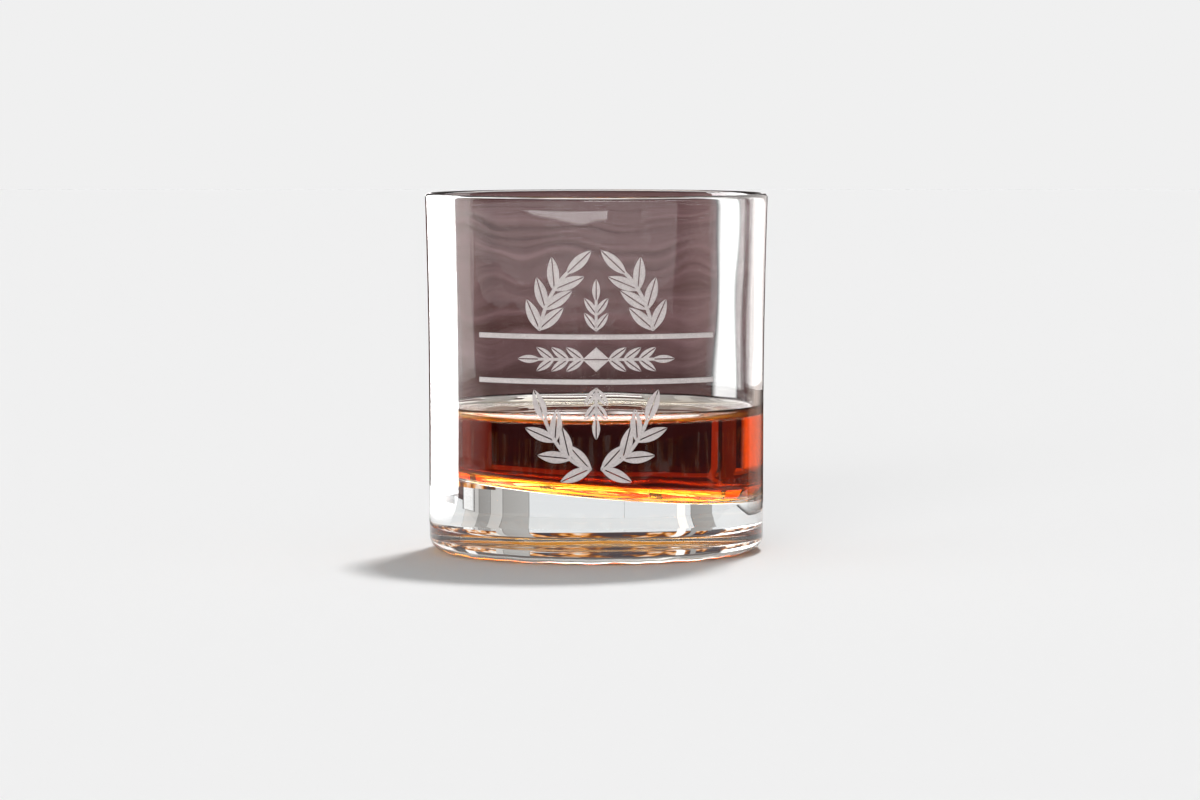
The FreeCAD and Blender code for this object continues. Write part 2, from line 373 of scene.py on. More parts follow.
# %% Wet table close behind, for rays through the drink: a glowing sheet with painted sparkle
SPARKLE_BACK = 0.108    # beyond this the sheet is plain and pale


def sparkle_glow_material():
    material, tree, output = new_material("wet_table_sparkle")
    place = add(tree, "ShaderNodeTexCoord").outputs["Object"]
    spots = add(tree, "ShaderNodeTexNoise", {"Scale": 95.0, "Detail": 3.0, "Roughness": 0.65},
                {"Vector": place})
    # Painted glints: noise spots become bright glow on a dimly glowing sheet
    spark = add(tree, "ShaderNodeMapRange", {"From Min": 0.50, "From Max": 0.66, "To Min": 0.10,
                "To Max": 1.0}, {"Value": spots.outputs["Fac"]})
    depth = add(tree, "ShaderNodeSeparateXYZ", links={0: place})
    back = add(tree, "ShaderNodeMapRange", {"From Min": SPARKLE_BACK - 0.008, "From Max": SPARKLE_BACK},
               {"Value": depth.outputs["Y"]})
    # Painted light: further back the sheet glows evenly at strength 1.7
    level = add(tree, "ShaderNodeMix", {"B": 1.7}, {"Factor": back.outputs[0], "A": spark.outputs[0]},
                data_type="FLOAT")
    glow = add(tree, "ShaderNodeEmission", {"Color": (1.0, 0.97, 0.95, 1)}, {"Strength": level.outputs[0]})
    gated(tree, output, glow.outputs[0], depth_gate(tree, "GREATER_THAN", THICK_GLASS))
    return material


sparkle_corners = [(x, y, TABLE_LIFT / 2) for x, y in ((-0.2, -0.08), (0.2, -0.08), (0.2, 0.23), (-0.2, 0.23))]
stage_sheet("wet_table", sparkle_corners, sparkle_glow_material())


# %% Amber light thrown round the foot, which only the base mirrors
GLINT_REACH = 0.108
GLINT_Z = (0.007, 0.024)


def glint_material():
    material, tree, output = new_material("amber_glints")
    place = add(tree, "ShaderNodeTexCoord").outputs["Object"]
    squeeze = add(tree, "ShaderNodeMapping", {"Scale": (1.0, 1.0, 0.35)}, {"Vector": place})
    cells = add(tree, "ShaderNodeTexNoise", {"Scale": 130.0, "Detail": 2.0, "Roughness": 0.6},
                {"Vector": squeeze.outputs[0]})
    tone = add(tree, "ShaderNodeValToRGB", links={"Fac": cells.outputs["Fac"]})
    ramp = tone.color_ramp
    ramp.elements[0].position = 0.44
    ramp.elements[0].color = linear("#4A4347")
    ramp.elements[1].position = 0.62
    ramp.elements[1].color = linear("#FFF6EA")
    for place_on_ramp, colour in ((0.50, "#8A4A1C"), (0.54, "#F0A050")):
        ramp.elements.new(place_on_ramp).color = linear(colour)
    glow = add(tree, "ShaderNodeEmission", links={"Color": tone.outputs[0]})
    gated(tree, output, glow.outputs[0], depth_gate(tree, "COMPARE", 1.5, 0.75))
    return material


def make_glints():
    turns = 48
    bright = glint_material()
    points = []
    for z in GLINT_Z:
        points += [(GLINT_REACH * math.cos(t), GLINT_REACH * math.sin(t), z)
                   for t in np.linspace(0, 2 * math.pi, turns, endpoint=False)]
    faces = [(i, (i + 1) % turns, turns + (i + 1) % turns, turns + i) for i in range(turns)]
    mesh = bpy.data.meshes.new("glints")
    mesh.from_pydata(points, [], faces)
    ring = link_object("glints", mesh, [bright])
    for kind in EVERY_RAY:
        setattr(ring, "visible_" + kind, kind in IN_GLASS)


make_glints()

# %% Cards standing round the glass: places in millimetres seen from above
SHEET_LIFT = 0.5 * MM


def standing_card(name, start, end, material, high=220.0, low=0.5):
    """Upright card over the line from start to end on the floor."""
    a, b = [(x * MM, y * MM) for x, y in (start, end)]
    return stage_sheet(name, [(*a, low * MM), (*b, low * MM), (*b, high * MM), (*a, high * MM)], material)


def lying_card(name, start, end, near_end, near_start, material):
    """Card flat on the table: the mirror image of a standing one, as a polished table shows it."""
    corners = [(x * MM, y * MM, SHEET_LIFT) for x, y in (start, end, near_end, near_start)]
    return stage_sheet(name, corners, material)


SOFTBOX = ((-95, 180), (-199, 34))
standing_card("softbox_left", *SOFTBOX,
              glowing("softbox", (7.0, 6.9, 6.8), (13, 13, 13), (0.10, 0.01), through=(0.55, 0.08)))
lying_card("softbox_image", *SOFTBOX, (-90, 20), (-45, 75),
           glowing("softbox_on_table", (6.0, 5.9, 5.8), (9, 9, 9), (0.10, 0.01), fading=True,
                   through=(0.55, 0.08)))
standing_card("card_left", SOFTBOX[1], (-202, -90),
              glowing("skin_tone_card", (0.9, 0.68, 0.64), (0.0, 0.0, 0.0), (0.001, 0.5)))
standing_card("card_right", (37, 105), (49, 105),
              glowing("white_card", (1.15, 1.13, 1.12), soft=(0.2, 0.2)))
FAR_RIGHT = ((64, 108), (135, 60))
FAR_RIGHT_SPLIT = 32
standing_card("card_far_right", *FAR_RIGHT,
              glowing("blush_card", (1.3, 1.2, 1.16), (2.0, 1.9, 1.85), (0.15, 0.1)), low=FAR_RIGHT_SPLIT)
standing_card("card_far_right_foot", *FAR_RIGHT,
              glowing("dim_blush_card", (0.75, 0.65, 0.60), (0.4, 0.3, 0.25), (0.5, 0.1)),
              high=FAR_RIGHT_SPLIT)

# %% Low pale cards behind the bands, which only the thick base looks at, and a dark kerb behind them
PALE = (0.86, 0.86, 0.87)
LOW_Y = 106
LOW_STEPS = ((-62, 5.0), (-5, 5.0), (14, 7.8))    # place from left to right, and height there
for k, ((xa, ha), (xb, hb)) in enumerate(zip(LOW_STEPS, LOW_STEPS[1:])):
    corners = [(xa, 0.5), (xb, 0.5), (xb, hb), (xa, ha)]
    stage_sheet(f"low_card_{k}", [(x * MM, LOW_Y * MM, z * MM) for x, z in corners],
                glowing(f"low_card_{k}", PALE, soft=(0.001, 0.001)))
standing_card("kerb", (-46, 125), (90, 125), glowing("oak_kerb", (0.13, 0.09, 0.085)), high=10.5)

# %% Dark strips behind, which the thick base squeezes into upright bands
BAND_Y = 105
BAND_HIGH = 26
BACK_OF_BASE = (6.0, 42.0)
BANDS = {"band_a": (13, 21.5, 0.50, 0.42), "band_b": (21.5, 27, 0.66, 0.62),
         "band_c": (27, 34, 0.40, 0.34), "band_d": (34, 46, 0.60, 0.74),
         "band_e": (-33, -22, 0.46, 0.38), "band_f": (-20, -17, 1.2, 1.2)}
for name, (x0, x1, grey, end_grey) in BANDS.items():
    tint = glowing(name, (grey, grey * 0.96, grey * 0.93), (end_grey, end_grey * 0.95, end_grey * 0.91))
    pinch = -BACK_OF_BASE[0] if x0 > 0 else BACK_OF_BASE[0]
    standing_card(name, (x0, BAND_Y), (x1, BAND_Y), tint, BAND_HIGH)
    lying_card(name + "_image", (x0, BAND_Y), (x1, BAND_Y), (pinch + 0.1 * x1, BACK_OF_BASE[1]),
               (pinch + 0.1 * x0, BACK_OF_BASE[1]), tint)

# %% Long lamp at the front right, which draws two level streaks under the rim
LAMP_REACH = 0.5
LAMP_Z = (0.0965, 0.1065)
for k in range(6):
    turn_a, turn_b = [math.radians(-98 + 12 * (k + e)) for e in (0, 1)]
    a, b = [(LAMP_REACH * math.cos(t), LAMP_REACH * math.sin(t)) for t in (turn_a, turn_b)]
    stage_sheet(f"long_lamp_{k}", [(*a, LAMP_Z[0]), (*b, LAMP_Z[0]), (*b, LAMP_Z[1]), (*a, LAMP_Z[1])],
                glowing(f"long_lamp_{k}", (7.5, 7.3, 7.2), soft=(0.001, 0.001), sides=0.3))

# %% Window behind, high over the table, seen in the curved edges only
WINDOW_BACK = 1.3
WINDOW_SILL = 0.16
WINDOW_HEAD = 1.25
WINDOW_STEP = math.radians(18)    # from one pane of the bay to the next
WINDOW_PANE = math.radians(15.5)


def make_window():
    """Bay window of nine panes, which bends round the back of the table."""
    bright, tree, output = new_material("window_pane")
    glow = add(tree, "ShaderNodeEmission", {"Strength": 14.0})
    gated(tree, output, glow.outputs[0], depth_gate(tree, "GREATER_THAN", THICK_GLASS))
    for k in range(-4, 5):
        turns = [math.pi / 2 + k * WINDOW_STEP - side * WINDOW_PANE / 2 for side in (1, -1)]
        (ax, ay), (bx, by) = [(WINDOW_BACK * math.cos(t), WINDOW_BACK * math.sin(t)) for t in turns]
        corners = [(ax, ay, WINDOW_SILL), (bx, by, WINDOW_SILL),
                   (bx, by, WINDOW_HEAD), (ax, ay, WINDOW_HEAD)]
        stage_sheet(f"window_pane_{k + 4}", corners, bright)


make_window()

# %% Daylit wall under the window, which lies mirrored in the top of the drink
WALL_BACK = 1.2
WALL_Z = (0.085, 0.155)
WALL_TURNS = ((30, 62, 1.2), (62, 78, 1.9), (78, 90, 1.5), (90, 104, 2.0), (104, 118, 1.2), (118, 150, 2.2))
for k, (turn_a, turn_b, light) in enumerate(WALL_TURNS):
    a, b = [(WALL_BACK * math.cos(math.radians(t)), WALL_BACK * math.sin(math.radians(t)))
            for t in (turn_a, turn_b)]
    stage_sheet(f"daylit_wall_{k}", [(*a, WALL_Z[0]), (*b, WALL_Z[0]), (*b, WALL_Z[1]), (*a, WALL_Z[1])],
                glowing(f"daylit_wall_{k}", (light, light * 0.98, light * 0.97), soft=(0.05, 0.05)))

# %% [markdown]
# ## The glass body
# The real one is a single gob of soda-lime glass, pressed in a mould and then fire-polished, which leaves
# the lip round and the skin glossy with the faintest ripple. It could be a Screw modifier on a profile, but
# the inner floor slants, so no single profile turns into it. Instead every ring of points is worked out by
# formula, and the inside and the outside are one closed skin from the punt's middle to the floor's middle.

# %% Outside of the glass, ring by ring
TURNS = 288
ANGLES = np.linspace(0, 2 * np.pi, TURNS, endpoint=False)
OUT = np.stack([np.cos(ANGLES), np.sin(ANGLES), np.zeros(TURNS)], axis=1)
UP = np.array([0.0, 0.0, 1.0])


def flare(z):
    """How far up the leaning part of the wall z is, from 0 to 1."""
    return max(0.0, z - FLARE_START) / (TOP - FLARE_START)


def outer_radius(z):
    return BODY_R + (MOUTH_R - BODY_R) * flare(z) ** 2


def inner_radius(z):
    return outer_radius(z) - (WALL_LOW + (WALL_LIP - WALL_LOW) * flare(z))


def level_ring(radius, z):
    return OUT * radius + UP * z


def ripple(z):
    """Faint unevenness of the moulded inside, as a share of the radius."""
    swing = (np.sin(5 * ANGLES + 40 * z) + 0.7 * np.sin(9 * ANGLES - 90 * z + 1.0)
             + 0.5 * np.sin(14 * ANGLES + 150 * z + 2.0))
    fade = min(1.0, (TOP - z) / (20 * MM))
    return 0.0006 * fade * swing


def punt_height(radius):
    """Underside of the base: a shallow dish with the mould's faint rings."""
    share = radius / PUNT_R
    return PUNT_DEPTH * (1 - 0.4 * share ** 2) + 0.05 * MM * math.cos(radius / (1.1 * MM))


def knurl(radius):
    """Shallow scallops of the foot ring, which keep a wet glass from sticking to the table."""
    wave = np.sin(17 * ANGLES + 1) + 0.7 * np.sin(29 * ANGLES) + 0.4 * np.sin(41 * ANGLES + 2) + 2.1
    reach = max(0.0, 1 - abs(radius - KNURL_R) / KNURL_WIDTH)
    return 0.17 * MM * reach * wave


def outside_rings():
    rings = []
    for radius in np.linspace(0.8 * MM, PUNT_R, 40):
        rings.append(level_ring(radius, punt_height(radius)))
    edge = punt_height(PUNT_R)
    for t in np.linspace(0.12, 1, 9):
        radius = PUNT_R + PUNT_SHOULDER * t
        rings.append(level_ring(radius, edge * (1 + math.cos(math.pi * t)) / 2))
    foot = BODY_R - HEEL_R
    for radius in np.linspace(PUNT_R + PUNT_SHOULDER, foot, 6)[1:-1]:
        rings.append(level_ring(radius, 0.0))
    for t in np.linspace(0, math.pi / 2, 16):
        rings.append(level_ring(foot + HEEL_R * math.sin(t), HEEL_R * (1 - math.cos(t))))
    for ring in rings:
        ring[:, 2] += knurl(np.hypot(ring[0, 0], ring[0, 1]))
    for z in np.linspace(HEEL_R, FLARE_START, 12)[1:]:
        rings.append(level_ring(BODY_R, z))
    for z in np.linspace(FLARE_START, TOP, 30)[1:]:
        rings.append(level_ring(outer_radius(z), z))
    return rings


# %% Inside of the glass; grow pushes the surface out into the glass, for the drink that fills it
def wall_rings(high, low, steps, grow):
    return [OUT * ((inner_radius(z) + grow) * (1 + ripple(z)))[:, None] + UP * z
            for z in np.linspace(high, low, steps)]


def floor_rings(grow):
    """Rolling-ball fillet between wall and slanted floor, then the floor down to its middle."""
    floor_up = np.array([math.sin(FLOOR_SLOPE), 0.0, math.cos(FLOOR_SLOPE)])
    reach = CAVITY_R - FLOOR_CORNER
    centre = OUT * reach
    centre[:, 2] = (FLOOR_Z - centre[:, 0] * math.tan(FLOOR_SLOPE)
                    + FLOOR_CORNER / math.cos(FLOOR_SLOPE))
    bend = np.arccos(OUT @ -floor_up)
    rings = []
    for t in np.linspace(0, 1, 14):
        side = np.sin((1 - t) * bend)[:, None] * OUT + np.sin(t * bend)[:, None] * -floor_up
        rings.append(centre + (FLOOR_CORNER + grow) * side / np.sin(bend)[:, None])
    rings[0] = rings[0] * (1 + ripple(FLOOR_Z + FLOOR_CORNER))[:, None] ** np.array([1, 1, 0])
    middle = np.array([0.0, 0.0, FLOOR_Z]) - floor_up * grow
    corner = rings[-1]
    for t in np.linspace(0, 0.97, 24)[1:]:
        rings.append(corner * (1 - t) + middle * t)
    return rings, middle


def lip_rings():
    middle = outer_radius(TOP) - LIP_R
    return [level_ring(middle + LIP_R * math.cos(t), TOP + LIP_R * math.sin(t))
            for t in np.linspace(0, math.pi, 18)[1:-1]]


# %% Join rings into one closed skin
def skin_data(rings, first_pole, last_pole):
    """Points and faces of a closed skin through the rings, capped at both poles."""
    turns = len(rings[0])
    points = np.concatenate([np.array([first_pole]), *rings, np.array([last_pole])])
    here = np.arange(turns)
    after = (here + 1) % turns
    faces = [(0, 1 + b, 1 + a) for a, b in zip(here, after)]
    for k in range(len(rings) - 1):
        base, above = 1 + k * turns, 1 + (k + 1) * turns
        faces += [(base + a, base + b, above + b, above + a) for a, b in zip(here, after)]
    end = len(points) - 1
    last = 1 + (len(rings) - 1) * turns
    faces += [(last + a, last + b, end) for a, b in zip(here, after)]
    return points, faces


def skin(name, *shells):
    """Mesh of one or more closed skins, with faces pointing outwards and smooth shading."""
    mesh = bpy.data.meshes.new(name)
    all_points, all_faces = [], []
    for points, faces in shells:
        first = len(all_points)
        all_points += points.tolist()
        all_faces += [tuple(int(i) + first for i in face) for face in faces]
    mesh.from_pydata(all_points, [], all_faces)
    work = bmesh.new()
    work.from_mesh(mesh)
    bmesh.ops.recalc_face_normals(work, faces=work.faces)
    work.to_mesh(mesh)
    work.free()
    mesh.shade_smooth()
    print(f"{name}: {len(mesh.polygons)} faces")
    return mesh


def glass_mesh():
    floor_part, floor_middle = floor_rings(0.0)
    start = FLOOR_Z + math.tan(FLOOR_SLOPE) * CAVITY_R + FLOOR_CORNER * 1.6
    rings = outside_rings() + lip_rings() + wall_rings(TOP, start, 44, 0.0) + floor_part
    return skin("tumbler_glass", skin_data(rings, (0, 0, punt_height(0.0)), floor_middle))


# %% [markdown]
# ### Pressed soda-lime glass
# Everyday tableware glass: refractive index 1.52, nearly colourless, with a breath of grey-green that shows
# only through the thick base. Fire polishing leaves it mirror smooth. The finest detail is dried water
# marks, which blur reflections a little in patches a few millimetres wide.

# %% Clear glass
def clear_glass():
    material, tree, output = new_material("fire_polished_soda_lime_glass")
    place = add(tree, "ShaderNodeTexCoord")
    marks = add(tree, "ShaderNodeTexNoise", {"Scale": 140.0, "Detail": 4.0, "Roughness": 0.6},
                {"Vector": place.outputs["Object"]})
    smear = add(tree, "ShaderNodeMapRange",
                {"From Min": 0.52, "From Max": 0.75, "To Min": 0.0, "To Max": 0.035},
                {"Value": marks.outputs["Fac"]})
    swell = add(tree, "ShaderNodeTexNoise", {"Scale": 55.0, "Detail": 1.0},
                {"Vector": place.outputs["Object"]})
    bump = add(tree, "ShaderNodeBump", {"Strength": 0.05, "Distance": 0.1 * MM},
               {"Height": swell.outputs["Fac"]})
    shader = add(tree, "ShaderNodeBsdfPrincipled",
                 {"Base Color": linear("#FDFEFE"), "IOR": 1.52, "Transmission Weight": 1.0},
                 {"Roughness": smear.outputs[0], "Normal": bump.outputs[0]})
    tint = add(tree, "ShaderNodeVolumeAbsorption", {"Color": (0.84, 0.92, 0.91, 1), "Density": 2.5})
    tree.links.new(shader.outputs[0], output.inputs["Surface"])
    tree.links.new(tint.outputs[0], output.inputs["Volume"])
    return material


tumbler = link_object("tumbler_glass", glass_mesh(), [clear_glass()])
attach(tumbler, "root")
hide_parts("glass_body")

# %% [markdown]
# ## The whisky
# The drink has the inside's own shape below and a flat top whose edge climbs the wall in a meniscus. Where
# liquid touches glass there is no air, so the drink is made a hair larger than the cavity and sinks into
# the glass. Light then bends once from glass into liquid, and the amber reaches right out to the edge.

# %% Drink
SOAK = 0.06 * MM    # how far the drink's skin reaches into the glass


def drink_mesh():
    start = FLOOR_Z + math.tan(FLOOR_SLOPE) * CAVITY_R + FLOOR_CORNER * 1.6
    edge = CAVITY_R + SOAK
    turn_r = edge - MENISCUS_R * math.cos(CONTACT_ANGLE)
    rings, floor_middle = floor_rings(SOAK)
    rings = rings[::-1] + wall_rings(CONTACT_Z, start, 14, SOAK)[::-1]
    for t in np.linspace(CONTACT_ANGLE, math.pi / 2, 26)[1:]:
        rings.append(level_ring(turn_r + MENISCUS_R * math.cos(t), LEVEL + MENISCUS_R * (1 - math.sin(t))))
    for radius in np.linspace(turn_r, 1.0 * MM, 18)[1:]:
        rings.append(level_ring(radius, LEVEL))
    return skin("whisky_drink", skin_data(rings, floor_middle, (0, 0, LEVEL)))


AMBER_SOAKED_UP = (20, 66, 190)    # share of red, green and blue lost in each metre, as exponents


def whisky_liquid():
    """Amber spirit: index 1.36, and blue is drunk up first, then green, so depth turns gold to brown."""
    material, tree, output = new_material("cask_aged_whisky")
    place = add(tree, "ShaderNodeTexCoord")
    tremor = add(tree, "ShaderNodeTexNoise", {"Scale": 90.0, "Detail": 1.0},
                 {"Vector": place.outputs["Object"]})
    bump = add(tree, "ShaderNodeBump", {"Strength": 0.04, "Distance": 0.1 * MM},
               {"Height": tremor.outputs["Fac"]})
    shader = add(tree, "ShaderNodeBsdfPrincipled",
                 {"Base Color": (1, 1, 1, 1), "IOR": 1.36, "Transmission Weight": 1.0,
                  "Roughness": 0.0}, {"Normal": bump.outputs[0]})
    density = max(AMBER_SOAKED_UP) * 1.05
    kept = [1 - lost / density for lost in AMBER_SOAKED_UP]
    depth = add(tree, "ShaderNodeVolumeAbsorption", {"Color": (*kept, 1), "Density": density})
    tree.links.new(shader.outputs[0], output.inputs["Surface"])
    tree.links.new(depth.outputs[0], output.inputs["Volume"])
    return material


drink = link_object("whisky_drink", drink_mesh(), [whisky_liquid()])
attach(drink, "root")
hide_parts("whisky")

# %% [markdown]
# ## Bubbles at the edge of the drink
# Pouring leaves tiny bubbles that gather where the drink meets the glass, and a few cling to the low side
# of the floor. They're the same shape hundreds of times, so a node tree scatters one small ball of few
# faces along rings of points. A bubble is air inside the drink, so its index is the drink's, upside down.

# %% Node tree that strings balls along a line
def bubble_tree():
    tree = bpy.data.node_groups.new("bubbles_along_line", "GeometryNodeTree")
    face = tree.interface
    face.new_socket("Line", in_out="INPUT", socket_type="NodeSocketGeometry")
    face.new_socket("Spacing", in_out="INPUT", socket_type="NodeSocketFloat")
    face.new_socket("Smallest", in_out="INPUT", socket_type="NodeSocketFloat")
    face.new_socket("Largest", in_out="INPUT", socket_type="NodeSocketFloat")
    face.new_socket("Stray", in_out="INPUT", socket_type="NodeSocketVector")
    face.new_socket("Kept", in_out="INPUT", socket_type="NodeSocketFloat")
    face.new_socket("Seed", in_out="INPUT", socket_type="NodeSocketInt")
    face.new_socket("Finish", in_out="INPUT", socket_type="NodeSocketMaterial")
    face.new_socket("Bubbles", in_out="OUTPUT", socket_type="NodeSocketGeometry")
    given = add(tree, "NodeGroupInput").outputs

    line = add(tree, "GeometryNodeMeshToCurve", links={"Mesh": given["Line"]}).outputs["Curve"]
    spots = add(tree, "GeometryNodeCurveToPoints", links={"Curve": line, "Length": given["Spacing"]},
                mode="LENGTH").outputs["Points"]
    back = add(tree, "ShaderNodeVectorMath", links={0: given["Stray"]}, operation="SCALE")
    back.inputs["Scale"].default_value = -1.0
    stray = add(tree, "FunctionNodeRandomValue", data_type="FLOAT_VECTOR", links={
        "Min": back.outputs[0], "Max": given["Stray"], "Seed": given["Seed"]}).outputs[0]
    moved = add(tree, "GeometryNodeSetPosition", links={"Geometry": spots, "Offset": stray}).outputs[0]
    chosen = add(tree, "FunctionNodeRandomValue", data_type="BOOLEAN",
                 links={"Probability": given["Kept"], "Seed": given["Seed"]}).outputs[3]
    size = add(tree, "FunctionNodeRandomValue", data_type="FLOAT", links={
        2: given["Smallest"], 3: given["Largest"], "Seed": given["Seed"]}).outputs[1]
    ball = add(tree, "GeometryNodeMeshIcoSphere", {"Radius": 1.0, "Subdivisions": 2}).outputs["Mesh"]
    balls = add(tree, "GeometryNodeInstanceOnPoints", links={
        "Points": moved, "Selection": chosen, "Instance": ball, "Scale": size}).outputs[0]
    real = add(tree, "GeometryNodeRealizeInstances", links={"Geometry": balls}).outputs[0]
    finished = add(tree, "GeometryNodeSetMaterial", links={"Geometry": real, "Material": given["Finish"]})
    add(tree, "NodeGroupOutput", links={"Bubbles": finished.outputs[0]})
    return tree


# %% Run a tree on lines of points and keep the result as a plain mesh
def run_tree(name, tree, lines, settings):
    points, edges = [], []
    for line in lines:
        first = len(points)
        points += [tuple(p) for p in line]
        edges += [(first + k, first + k + 1) for k in range(len(line) - 1)]
    path = bpy.data.meshes.new(name + "_path")
    path.from_pydata(points, edges, [])
    carrier = link_object(name + "_carrier", path)
    modifier = carrier.modifiers.new(name, "NODES")
    modifier.node_group = tree
    for item in tree.interface.items_tree:
        if item.item_type == "SOCKET" and item.in_out == "INPUT" and item.name in settings:
            modifier[item.identifier] = settings[item.name]
    seen = carrier.evaluated_get(bpy.context.evaluated_depsgraph_get())
    mesh = bpy.data.meshes.new_from_object(seen)
    mesh.name = name
    carrier.modifiers.remove(modifier)
    bpy.data.objects.remove(carrier)
    return mesh


# %% Rings of bubbles
def air_in_whisky():
    """Air bubble: light bends the other way, and its rim mirrors like a silver bead."""
    material, tree, output = new_material("air_bubble_in_whisky")
    place = add(tree, "ShaderNodeTexCoord")
    film = add(tree, "ShaderNodeTexNoise", {"Scale": 900.0, "Detail": 1.0},
               {"Vector": place.outputs["Object"]})
    haze = add(tree, "ShaderNodeMapRange", {"To Min": 0.0, "To Max": 0.08},
               {"Value": film.outputs["Fac"]})
    shader = add(tree, "ShaderNodeBsdfPrincipled",
                 {"Base Color": linear("#FFF8F0"), "IOR": 1 / 1.36, "Transmission Weight": 1.0},
                 {"Roughness": haze.outputs[0]})
    tree.links.new(shader.outputs[0], output.inputs["Surface"])
    return material


def ring_line(radius, z, turn_from, turn_to, slope=0.0):
    return [(radius * math.cos(t), radius * math.sin(t), z - radius * math.cos(t) * slope)
            for t in np.linspace(turn_from, turn_to, 120)]


AIR = air_in_whisky()
BUBBLES = bubble_tree()
rim_line = ring_line(CAVITY_R - 0.32 * MM, LEVEL - 0.02 * MM, 0, 2 * math.pi)
rim_bubbles = run_tree("rim_bubbles", BUBBLES, [rim_line], {
    "Spacing": 0.24 * MM, "Smallest": 0.045 * MM, "Largest": 0.135 * MM,
    "Stray": (0.10 * MM, 0.10 * MM, 0.25 * MM), "Kept": 0.8, "Seed": 7, "Finish": AIR})
low_side = ring_line(CAVITY_R - 2.6 * MM, FLOOR_Z + 1.15 * MM, math.radians(-110), math.radians(20),
                     math.tan(FLOOR_SLOPE))
floor_bubbles = run_tree("floor_bubbles", BUBBLES, [low_side], {
    "Spacing": 0.25 * MM, "Smallest": 0.05 * MM, "Largest": 0.15 * MM,
    "Stray": (0.9 * MM, 0.9 * MM, 0.30 * MM), "Kept": 0.8, "Seed": 11, "Finish": AIR})
for mesh, name in ((rim_bubbles, "rim_bubbles"), (floor_bubbles, "floor_bubbles")):
    mesh.materials.clear()
    beads = link_object(name, mesh, [AIR])
    mesh.shade_smooth()
    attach(beads, "root")
    print(f"{name}: {len(mesh.polygons)} faces")

# %% [markdown]
# ## Frosted decoration
# The real decoration is the glass's own skin, roughened by sand or acid through a stencil. Leaves repeat
# along stems, which is what Geometry Nodes does best: a stem is a line of points, the tree sets one pair of
# leaves after another along it and one leaf at its end, and gives the stem its width. The flat sprigs are
# then pressed on to the wall, straight back from the front, as a stencil would lie.

# %% Sizes of the decoration
RULE_WIDTH = 1.2 * MM
RULE_HALF = BODY_R * math.sin(math.radians(43))
RULE_UPPER_Z = 54.1 * MM
RULE_LOWER_Z = 43.5 * MM
BAND_Z = (RULE_UPPER_Z + RULE_LOWER_Z) / 2
WREATH_Z = 47.5 * MM
WREATH_WIDE = 14.2 * MM
WREATH_TALL = 24.6 * MM
WREATH_GAP = 1.2 * MM
STEM_WIDTH = 0.9 * MM
LEAF = (7.6 * MM, 2.9 * MM)
LEAF_SPREAD = math.radians(36)
LEAF_PAIRS = 3
GRAIN = (4.8 * MM, 1.9 * MM)
GRAIN_STEP = 3.5 * MM
GRAIN_SPREAD = math.radians(36)
LEAF_ROOT = -0.6 * MM    # a leaf starts a little inside its stem
VEIN = 0.13 * MM         # half the clear line down a leaf
PATCH_HALF = 0.5 * MM    # half thickness while flat
FROST_IN = 0.04          # how much of that thickness stays once pressed on to the glass


# %% Flat closed patch between a low and a high edge
def patch(x0, x1, low, high, stations):
    """Shell lying in the x-z plane: low and high give its edges as functions of the share along it."""
    rings = []
    across = np.linspace(0, 1, 5)
    for s in (1 - np.cos(np.linspace(0.0, math.pi, stations))) / 2:
        x = x0 + (x1 - x0) * s
        z = low(s) + (high(s) - low(s)) * across
        front = np.stack([np.full(5, x), np.full(5, -PATCH_HALF), z], axis=1)
        back = np.stack([np.full(5, x), np.full(5, PATCH_HALF), z[::-1]], axis=1)
        rings.append(np.concatenate([front, back]))
    return skin_data(rings[1:-1], rings[0].mean(axis=0), rings[-1].mean(axis=0))


def leaf_mesh(name, size):
    """Pointed leaf along +x in two halves, with a clear vein between them."""
    length, width = size

    def edge(s):
        return width / 2 * math.sin(math.pi * s) ** 0.8

    def vein(s):
        return min(VEIN, edge(s) * 0.5)

    upper = patch(LEAF_ROOT, length, vein, edge, 13)
    lower = patch(LEAF_ROOT, length, lambda s: -edge(s), lambda s: -vein(s), 13)
    return skin(name, upper, lower)


leaf_object = link_object("laurel_leaf", leaf_mesh("laurel_leaf", LEAF))
grain_object = link_object("barley_grain", leaf_mesh("barley_grain", GRAIN))


